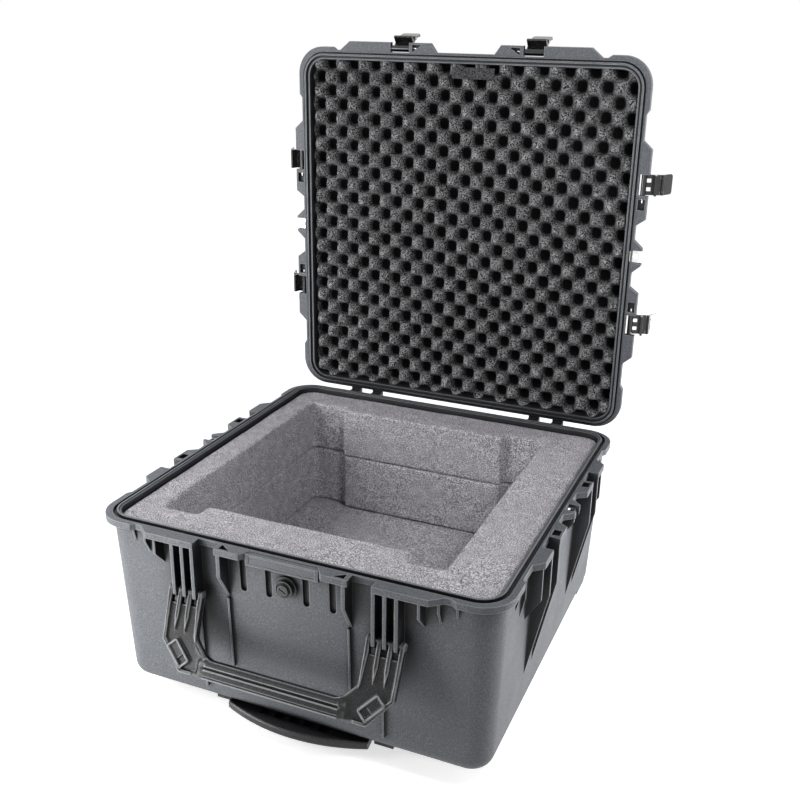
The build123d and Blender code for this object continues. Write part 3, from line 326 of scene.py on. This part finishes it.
def foam_group():
    """Open-cell foam: pale threads and dark cells, down to about a millimetre."""
    group, given, out = new_group(
        "open cells",
        [
            ("Thread Colour", "NodeSocketColor", (0.5, 0.5, 0.5, 1)),
            ("Cell Colour", "NodeSocketColor", (0.1, 0.1, 0.1, 1)),
            ("Cell Scale", "NodeSocketFloat", 380.0),
            ("Depth", "NodeSocketFloat", 0.8 * MM),
        ],
        [("Colour", "NodeSocketColor"), ("Normal", "NodeSocketVector")],
    )
    place = object_place(group)
    fine = add_noise(group, place, given["Cell Scale"], detail=2.0, rough=0.8)
    coarse = add_noise(group, place, COARSE_CELL_SCALE, detail=2.0, rough=0.6)
    share = add_math(group, "MULTIPLY", coarse, COARSE_CELL_SHARE)
    height = add_range(group, add_math(group, "ADD", fine, share), low=0.5, high=0.64)
    cells = add_colour_mix(group, height, given["Cell Colour"], given["Thread Colour"])
    feed(group, cells, out["Colour"])
    feed(group, add_bump(group, given["Depth"], height).outputs["Normal"], out["Normal"])
    return group


MOULDED = moulded_group()
FOAM = foam_group()


# ---- materials -----------------------------------------------------------------------------------
# The handle's painted edge highlight and speckle colour.
HANDLE_HIGHLIGHT_AND_SPECK = (0.3, 0.305, 0.315)
HANDLE_SURFACE = {"grain": 700.0, "depth": 0.05, "edge": 2.2, "speckle": 0.12, "hollow_shade": 16.0}
# Painted highlight on the handle's ridges and painted shade in its folds.
RIDGE_HIGHLIGHT_GREY = (0.34, 0.345, 0.355, 1)
FOLD_SHADE_BLACK = (0.002, 0.002, 0.002, 1)
# Painted shade at the foot of the lid foam's pits.
PIT_SHADE_BLACK = (0.003, 0.003, 0.003, 1)
PIT_SHADE_START = 10 * MM       # below the lid foam's face, where the painted shade in its pits begins
PIT_SHADE_FULL = 26 * MM
BRUSHED_SCALE = 2600.0
BRUSHED_STRETCH = (1, 1, 0.06)
BRUSHED_DEPTH = 0.01 * MM


def add_effect(tree, group, values):
    """A shader group in a material, with its values by name."""
    node = tree.nodes.new("ShaderNodeGroup")
    node.node_tree = group
    for label, value in values.items():
        node.inputs[label].default_value = value
    return node.outputs


def plastic(name, colour, highlight_and_speck, roughness, grain=900.0, depth=0.04, edge=0.8, speckle=0.3,
            hollow_shade=40.0, coat=0.0, specular=0.5):
    """A moulded plastic; depth, edge and the reach of the painted shade in its hollows are
    millimetres. Its second colour is that of its painted edge highlight and of its speckle.
    """
    material, tree, shader = new_material(name)
    effect = add_effect(tree, MOULDED, {
        "Colour": (*colour, 1),
        "Highlight And Speck Colour": (*highlight_and_speck, 1),
        "Grain Scale": grain,
        "Grain Depth": depth * MM,
        "Edge Radius": edge * MM,
        "Speckle": speckle,
        "Painted Shade Reach": hollow_shade * MM,
        "Roughness": roughness,
    })
    feed(tree, effect["Colour"], shader.inputs["Base Color"])
    feed(tree, effect["Roughness"], shader.inputs["Roughness"])
    feed(tree, effect["Normal"], shader.inputs["Normal"])
    shader.inputs["Coat Weight"].default_value = coat
    shader.inputs["Coat Roughness"].default_value = 0.08
    shader.inputs["Specular IOR Level"].default_value = specular
    return material


def foam(name, thread, cell, scale, depth):
    """A foam; depth is in millimetres."""
    material, tree, shader = new_material(name)
    effect = add_effect(tree, FOAM, {
        "Thread Colour": (*thread, 1),
        "Cell Colour": (*cell, 1),
        "Cell Scale": scale,
        "Depth": depth * MM,
    })
    feed(tree, effect["Colour"], shader.inputs["Base Color"])
    feed(tree, effect["Normal"], shader.inputs["Normal"])
    shader.inputs["Roughness"].default_value = 0.95
    shader.inputs["Specular IOR Level"].default_value = 0.15
    return material


def base_colour(material):
    """A material's tree, its shader's colour socket, and the socket that feeds that one."""
    tree = material.node_tree
    socket = tree.nodes["Principled BSDF"].inputs["Base Color"]
    return tree, socket, socket.links[0].from_socket


def ridged_plastic():
    """The front handle's moulding: painted highlight along its ridges and painted shade in its folds.
    """
    material = plastic("ridged handle moulding", (0.012, 0.0125, 0.014), HANDLE_HIGHLIGHT_AND_SPECK,
                       roughness=0.26, specular=0.3, **HANDLE_SURFACE)
    tree, colour, plain = base_colour(material)
    # Pointiness gives a painted highlight on ridges and painted shade in folds.
    bend = tree.nodes.new("ShaderNodeNewGeometry").outputs["Pointiness"]
    ridge_highlight = add_range(tree, bend, low=0.506, high=0.54, to_high=0.9)
    fold_shade = add_range(tree, bend, low=0.495, high=0.46, to_high=0.95)
    highlighted_ridges = add_colour_mix(tree, ridge_highlight, plain, RIDGE_HIGHLIGHT_GREY)
    feed(tree, add_colour_mix(tree, fold_shade, highlighted_ridges, FOLD_SHADE_BLACK), colour)
    return material


def pitted_foam():
    """The lid's charcoal foam: bright speckled peaks, and painted shade that falls to black at the
    foot of each pit.
    """
    material = foam("charcoal foam", (0.62, 0.62, 0.64), (0.02, 0.02, 0.021), scale=400.0, depth=1.4)
    tree, colour, cells = base_colour(material)
    parts = tree.nodes.new("ShaderNodeSeparateXYZ")
    feed(tree, object_place(tree), parts.inputs[0])
    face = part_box("lid_foam")[0].y
    # Painted shade: deeper in a pit, the foam darkens to black.
    pit_shade = add_range(tree, parts.outputs["Y"], face + PIT_SHADE_START, face + PIT_SHADE_FULL)
    feed(tree, add_colour_mix(tree, pit_shade, cells, PIT_SHADE_BLACK), colour)
    return material


def brushed(name, colour, roughness):
    """A bright metal with fine brushing along Z."""
    material, tree, shader = new_material(name)
    stretch = tree.nodes.new("ShaderNodeMapping")
    stretch.inputs["Scale"].default_value = BRUSHED_STRETCH
    feed(tree, object_place(tree), stretch.inputs["Vector"])
    lines = add_noise(tree, stretch.outputs[0], BRUSHED_SCALE, detail=3.0, rough=0.7)
    varied = add_range(tree, lines, 0.3, 0.7, to_low=roughness - 0.08, to_high=roughness + 0.1)
    feed(tree, varied, shader.inputs["Roughness"])
    feed(tree, add_bump(tree, BRUSHED_DEPTH, lines).outputs["Normal"], shader.inputs["Normal"])
    shader.inputs["Base Color"].default_value = (*colour, 1)
    shader.inputs["Metallic"].default_value = 1.0
    return material


def make_finishes():
    """One material for each slot of the record."""
    # Each plastic's second colour is its painted edge highlight and speckle colour, and its hollow
    # value is the reach of its painted shade in hollows.
    return {
        "case": plastic("case moulding", (0.092, 0.099, 0.112), (0.5, 0.52, 0.55), roughness=0.48,
                        grain=560.0, depth=0.07, edge=2.1, speckle=0.22, hollow_shade=55.0, specular=0.4),
        "handle": plastic("handle moulding", (0.016, 0.0165, 0.018), HANDLE_HIGHLIGHT_AND_SPECK,
                          roughness=0.32, specular=0.35, **HANDLE_SURFACE),
        "latch": plastic("latch moulding", (0.008, 0.008, 0.009), (0.16, 0.16, 0.16),
                         roughness=0.14, grain=500.0, depth=0.006, edge=1.0, speckle=0.05,
                         hollow_shade=8.0, coat=0.8, specular=0.25),
        "steel": brushed("bright steel", (0.78, 0.78, 0.77), roughness=0.22),
        "tube": brushed("satin aluminium", (0.66, 0.67, 0.69), roughness=0.34),
        "seal": plastic("seal rubber", (0.006, 0.006, 0.006), (0.02, 0.02, 0.02),
                        roughness=0.6, grain=700.0, depth=0.02),
        "base_foam": foam("grey foam", (0.95, 0.92, 0.98), (0.2, 0.19, 0.21), scale=560.0, depth=0.5),
        "lid_foam": pitted_foam(),
        "pad": foam("dark pad", (0.13, 0.13, 0.135), (0.03, 0.03, 0.031), scale=420.0, depth=0.3),
        "tyre": plastic("tyre rubber", (0.018, 0.018, 0.018), (0.06, 0.06, 0.06),
                        roughness=0.62, grain=500.0, depth=0.06),
        "hub": plastic("hub moulding", (0.045, 0.046, 0.05), (0.13, 0.13, 0.14), roughness=0.45),
    }


FINISH = make_finishes()


def dress_nodes():
    """Give every CAD node the finish of its slot."""
    for part in frame["record"]["subparts"]:
        piece = frame["nodes"][part["node"]]
        if not piece.data.materials:
            piece.data.materials.append(None)
        for index in range(len(piece.data.materials)):
            piece.data.materials[index] = FINISH[part["material_slot"]]


# ---- new pieces ----------------------------------------------------------------------------------
WELD_GAP = 0.02 * MM            # points of a CAD mesh that are closer than this are one


def finish_piece(piece, name, body, finish):
    """Name a new piece, give it its finish and let it ride on its body."""
    piece.name = name
    piece.data.materials.clear()
    piece.data.materials.append(finish)
    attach(piece, body)


def deselect():
    """Leave object mode with nothing selected."""
    if bpy.context.object and bpy.context.object.mode != "OBJECT":
        bpy.ops.object.mode_set(mode="OBJECT")
    bpy.ops.object.select_all(action="DESELECT")


def ripple(place, scale, height):
    """A height that varies over a piece, up or down from nothing; scale is per metre."""
    return noise.noise(place * scale) * height


def smooth_piece(piece, times, chosen=None):
    """Ease a piece's surface, or only the points that the test chooses."""
    ease = piece.modifiers.new("ease", "SMOOTH")
    ease.iterations = times
    if chosen:
        group = piece.vertex_groups.new(name="eased")
        group.add([v.index for v in piece.data.vertices if chosen(v.co)], 1.0, "REPLACE")
        ease.vertex_group = group.name
    bpy.ops.object.modifier_apply(modifier=ease.name)
    piece.vertex_groups.clear()


def eased_copy(node, voxel, smoothing):
    """A new mesh of a node's solid, cut to small squares, with its edges eased."""
    deselect()
    piece = frame["nodes"][node].copy()
    piece.data = piece.data.copy()
    piece.parent = None
    for key in list(piece.keys()):
        del piece[key]
    bpy.context.scene.collection.objects.link(piece)
    bpy.context.view_layer.objects.active = piece
    piece.select_set(True)
    bpy.ops.object.mode_set(mode="EDIT")
    bpy.ops.mesh.select_all(action="SELECT")
    bpy.ops.mesh.remove_doubles(threshold=WELD_GAP)
    bpy.ops.object.mode_set(mode="OBJECT")
    remesh = piece.modifiers.new("remesh", "REMESH")
    remesh.mode = "VOXEL"
    remesh.voxel_size = voxel
    bpy.ops.object.modifier_apply(modifier=remesh.name)
    smooth_piece(piece, smoothing)
    bpy.ops.object.shade_smooth()
    return piece


# ---- the lid's egg-crate foam --------------------------------------------------------------------
PIT_PITCH = 45.0 * MM           # between pits along a row
PIT_ROWS = 49.3 * MM            # two rows
PIT_DEPTH = 30.0 * MM
PIT_START = (2.2 * MM, 5.8 * MM)        # a pit's place from the middle of the lid's foam
PEAK_SINK = 1.6 * MM            # the peaks lie this far behind the solid's face
FOAM_CORNER = 22.0 * MM
FOAM_STEP = 2.6 * MM            # between the mesh's points
REAR_CHAMFER = 20.0 * MM
REAR_CORNER = 45.0 * MM
SHARP_ANGLE = radians(50)


def rounded_place(x, z, half_x, half_z, corner):
    """Pull a point of a rectangle's corner square onto its rounded corner."""
    over_x = max(abs(x) - (half_x - corner), 0.0)
    over_z = max(abs(z) - (half_z - corner), 0.0)
    if over_x > 0 and over_z > 0:
        reach = max(over_x, over_z)
        length = (over_x * over_x + over_z * over_z) ** 0.5
        over_x, over_z = over_x * reach / length, over_z * reach / length
        x = (half_x - corner + over_x) * (1 if x > 0 else -1)
        z = (half_z - corner + over_z) * (1 if z > 0 else -1)
    return x, z


def pitted_place(x, z):
    """A point of the foam's face: rows of pits, each pit between two of the next row."""
    across = 2 * pi * (x - PIT_START[0]) / PIT_PITCH
    along = 2 * pi * (z - PIT_START[1]) / PIT_ROWS
    pit = (1 + cos(across) * cos(along)) / 2
    pit = pit * pit * (3 - 2 * pit)
    rough = ripple(Vector((x, 0.0, z)), scale=260, height=0.9) * MM
    sway = ripple(Vector((x, 1.7, z)), scale=21, height=2.2) * MM
    return Vector((x, PIT_DEPTH * pit + rough + sway + PEAK_SINK, z))


def extrude_border(piece, new_place):
    """Extrude the selected border and put its points where the function says."""
    bpy.ops.object.mode_set(mode="EDIT")
    bpy.ops.mesh.extrude_region_move()
    bpy.ops.object.mode_set(mode="OBJECT")
    for vertex in piece.data.vertices:
        if vertex.select:
            vertex.co = new_place(vertex.co)


def egg_crate_foam():
    """The lid's foam: staggered pits between rounded peaks, on a block with rounded corners."""
    low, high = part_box("lid_foam")
    middle = (low + high) / 2
    half_x, half_z = (high.x - low.x) / 2, (high.z - low.z) / 2
    back = high.y - low.y
    deselect()
    bpy.ops.mesh.primitive_grid_add(
        x_subdivisions=int(2 * half_x / FOAM_STEP), y_subdivisions=int(2 * half_z / FOAM_STEP), size=2
    )
    piece = bpy.context.object
    for vertex in piece.data.vertices:
        x, z = vertex.co.x * half_x, vertex.co.y * half_z
        vertex.co = pitted_place(*rounded_place(x, z, half_x, half_z, FOAM_CORNER))

    bpy.ops.object.mode_set(mode="EDIT")
    bpy.ops.mesh.select_mode(type="EDGE")
    bpy.ops.mesh.select_all(action="DESELECT")
    bpy.ops.mesh.select_non_manifold()
    rear_x, rear_z = half_x - REAR_CHAMFER, half_z - REAR_CHAMFER

    def side_place(place):
        return Vector((place.x, back - REAR_CHAMFER, place.z))

    def rear_place(place):
        x, z = place.x * rear_x / half_x, place.z * rear_z / half_z
        x, z = rounded_place(x, z, rear_x, rear_z, REAR_CORNER)
        return Vector((x, back, z))

    extrude_border(piece, side_place)
    extrude_border(piece, rear_place)
    bpy.ops.object.mode_set(mode="EDIT")
    bpy.ops.mesh.edge_face_add()
    bpy.ops.mesh.select_all(action="SELECT")
    bpy.ops.mesh.normals_make_consistent(inside=False)
    bpy.ops.object.mode_set(mode="OBJECT")
    for vertex in piece.data.vertices:
        vertex.co += Vector((middle.x, low.y, middle.z))
    bpy.ops.object.shade_smooth_by_angle(angle=SHARP_ANGLE)
    finish_piece(piece, "egg_crate_foam", "lid", FINISH["lid_foam"])
    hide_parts("lid_foam")


# ---- the other foam ------------------------------------------------------------------------------
PAD_RAISE = 7.0 * MM            # the pad's upper edge stands this much higher than its solid's
PAD_CROWN = 0.8                 # millimetres
CUT_SINK = 0.5                  # millimetres that the cut foam lies inside its solid


def cut_foam(node, name, voxel):
    """A layer of the base's foam: its CAD solid with soft edges and an uneven cut surface."""
    piece = eased_copy(node, voxel, smoothing=2)
    normals = [vertex.normal.copy() for vertex in piece.data.vertices]
    for vertex, normal in zip(piece.data.vertices, normals):
        sway = ripple(vertex.co, scale=14, height=0.9)
        rough = ripple(vertex.co, scale=190, height=0.3)
        vertex.co += normal * (sway + rough - CUT_SINK) * MM
    finish_piece(piece, name, "base", FINISH["base_foam"])
    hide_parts(node)


def lid_bumper_pad():
    """The dark foam block at the top of the lid, a little crowned, with soft edges."""
    piece = eased_copy("lid_pad", 2 * MM, smoothing=4)
    low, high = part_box("lid_pad")
    middle = (low + high) / 2
    for vertex in piece.data.vertices:
        across = (vertex.co.x - middle.x) / (high.x - low.x) * 2
        crown = max(1 - across * across, 0.0) * PAD_CROWN
        rough = ripple(vertex.co, scale=230, height=0.35)
        if vertex.co.y < middle.y:
            vertex.co.y -= (crown + rough) * MM
        if vertex.co.z > middle.z:
            vertex.co.z += PAD_RAISE
    finish_piece(piece, "lid_bumper_pad", "lid", FINISH["pad"])
    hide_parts("lid_pad")


# ---- the front handle ----------------------------------------------------------------------------
GRIP_END = 119.65 * MM          # where the grip meets an arm, to each side of the middle
GRIP_BLEND = 12 * MM            # and how far to each side of that the surface is eased
GRIP_FACE = 6 * MM              # what is this far in front of the pins' plane is the grip's face
GRIP_GROOVES = ((101.0 * MM, 2.4 * MM, 3.6 * MM), (114.0 * MM, 1.4 * MM, 1.6 * MM))
HANDLE_LEAN = radians(22)       # from hanging straight down to how it rests on the wall


def carve_grip(piece):
    """Press two long grooves into the grip's face; each is (way down the arm, half width, depth)."""
    low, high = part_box("handle_pins")
    pivot = (low + high) / 2
    down = Vector((0, -sin(HANDLE_LEAN), -cos(HANDLE_LEAN)))
    outward = Vector((0, -cos(HANDLE_LEAN), sin(HANDLE_LEAN)))
    for vertex in piece.data.vertices:
        reach = vertex.co - pivot
        along, proud = reach.dot(down), reach.dot(outward)
        if abs(vertex.co.x) > GRIP_END or proud < GRIP_FACE:
            continue
        for place, half_width, depth in GRIP_GROOVES:
            aside = abs(along - place) / half_width
            if aside < 1:
                vertex.co -= outward * depth * (1 - aside * aside)


def front_handle():
    """The front handle with rounded mouldings, its grip flowing into the two arms."""
    piece = eased_copy("handle", 1.15 * MM, smoothing=2)
    carve_grip(piece)
    smooth_piece(piece, 110, chosen=lambda place: abs(abs(place.x) - GRIP_END) < GRIP_BLEND)
    finish_piece(piece, "front_handle_moulding", "front_handle", ridged_plastic())
    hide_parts("handle")


set_camera()
set_floor()
set_surroundings()
set_lamps()
dress_nodes()
egg_crate_foam()
cut_foam("foam_ring_upper", "foam_upper_layer", 4 * MM)
cut_foam("foam_ring_lower", "foam_lower_layer", 5 * MM)
cut_foam("foam_base_pad", "foam_floor_pad", 6 * MM)
lid_bumper_pad()
front_handle()

bpy.context.scene.view_settings.view_transform = "Standard"
